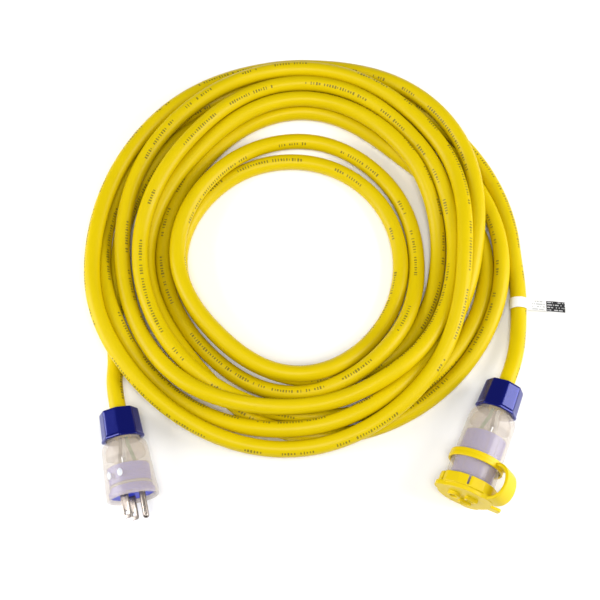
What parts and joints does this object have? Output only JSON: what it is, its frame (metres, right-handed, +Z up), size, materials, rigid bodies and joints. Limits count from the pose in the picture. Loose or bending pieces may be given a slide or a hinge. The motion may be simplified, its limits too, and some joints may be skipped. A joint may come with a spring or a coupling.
{
  "type": "shore power cord",
  "caption": "Round coil of heavy yellow power cord with a straight-blade plug on one end and a capped connector on the other, each sealed to the cord by a faceted gland nut.",
  "frame": {"origin": "on the surface the cord lies on, under the middle of the box round the plug and the connector", "axes": "+X runs from the plug's side to the connector's side, +Y from the fittings to the coil, +Z up from the surface"},
  "size_m": [0.3795, 0.3784, 0.0503],
  "materials": {
    "jacket": "satin",
    "cap_rubber": "satin",
    "nut_plastic": "gloss",
    "shell_plastic": "satin translucent",
    "insert_plastic": "satin",
    "nickel": "nickel plated",
    "brass": "plain",
    "steel": "plated",
    "seal_rubber": "matte",
    "washer_plastic": "matte",
    "tag_vinyl": "satin",
    "wire_black": "satin",
    "wire_white": "satin",
    "wire_green": "satin"
  },
  "bodies": {
    "cord_set": {"plug_grommet": "seal_rubber", "plug_body": "shell_plastic", "plug_insert": "insert_plastic", "plug_ring_seal": "seal_rubber", "plug_assembly_screw_1": "steel", "plug_assembly_screw_2": "steel", "plug_line_clamp": "brass", "plug_line_screw": "steel", "plug_line_conductor": "wire_black", "plug_neutral_clamp": "brass", "plug_neutral_screw": "steel", "plug_neutral_conductor": "wire_white", "plug_ground_clamp": "brass", "plug_ground_screw": "steel", "plug_ground_conductor": "wire_green", "connector_grommet": "seal_rubber", "connector_body": "shell_plastic", "connector_insert": "insert_plastic", "connector_ring_seal": "seal_rubber", "connector_assembly_screw_1": "steel", "connector_assembly_screw_2": "steel", "connector_line_clamp": "brass", "connector_line_screw": "steel", "connector_line_conductor": "wire_black", "connector_neutral_clamp": "brass", "connector_neutral_screw": "steel", "connector_neutral_conductor": "wire_white", "connector_ground_clamp": "brass", "connector_ground_screw": "steel", "connector_ground_conductor": "wire_green", "plug_line_blade": "nickel", "plug_neutral_blade": "nickel", "plug_ground_pin": "nickel", "connector_line_contact": "brass", "connector_neutral_contact": "brass", "connector_ground_contact": "brass", "strap_band": "cap_rubber", "cap_strap": "cap_rubber", "outer_coil": "jacket", "inner_coil": "jacket", "plug_lead": "jacket", "connector_lead": "jacket", "cord_tag": "tag_vinyl"},
    "plug_washer_body": {"plug_slip_washer": "washer_plastic"},
    "plug_nut_body": {"plug_nut": "nut_plastic"},
    "connector_washer_body": {"connector_slip_washer": "washer_plastic"},
    "connector_nut_body": {"connector_nut": "nut_plastic"},
    "cap_body": {"closure_cap": "cap_rubber"}
  },
  "joints": [
    {"name": "plug_nut_travel", "type": "slide", "parent": "cord_set", "child": "plug_washer_body", "axis": [-0.2076, 0.9766, -0.0558], "range_m": [0, 0.0075]},
    {"name": "plug_nut_turn", "type": "hinge", "parent": "plug_washer_body", "child": "plug_nut_body", "pos_m": [-0.1489, 0.02876, 0.01617], "axis": [-0.2076, 0.9766, -0.0558], "range_deg": [0, 1080]},
    {"name": "connector_nut_travel", "type": "slide", "parent": "cord_set", "child": "connector_washer_body", "axis": [0.3811, 0.9201, -0.0906], "range_m": [0, 0.0075]},
    {"name": "connector_nut_turn", "type": "hinge", "parent": "connector_washer_body", "child": "connector_nut_body", "pos_m": [0.1501, 0.04876, 0.01607], "axis": [0.3811, 0.9201, -0.0906], "range_deg": [0, 1080]},
    {"name": "cap_pull", "type": "slide", "parent": "cord_set", "child": "cap_body", "axis": [-0.3811, -0.9201, 0.0906], "range_m": [0, 0.02], "deforming": ["cap_strap"]}
  ],
  "couplings": [
    {"joint": "plug_nut_travel", "follows": "plug_nut_turn", "m_per_rad": 0.00039789},
    {"joint": "connector_nut_travel", "follows": "connector_nut_turn", "m_per_rad": 0.00039789}
  ]
}
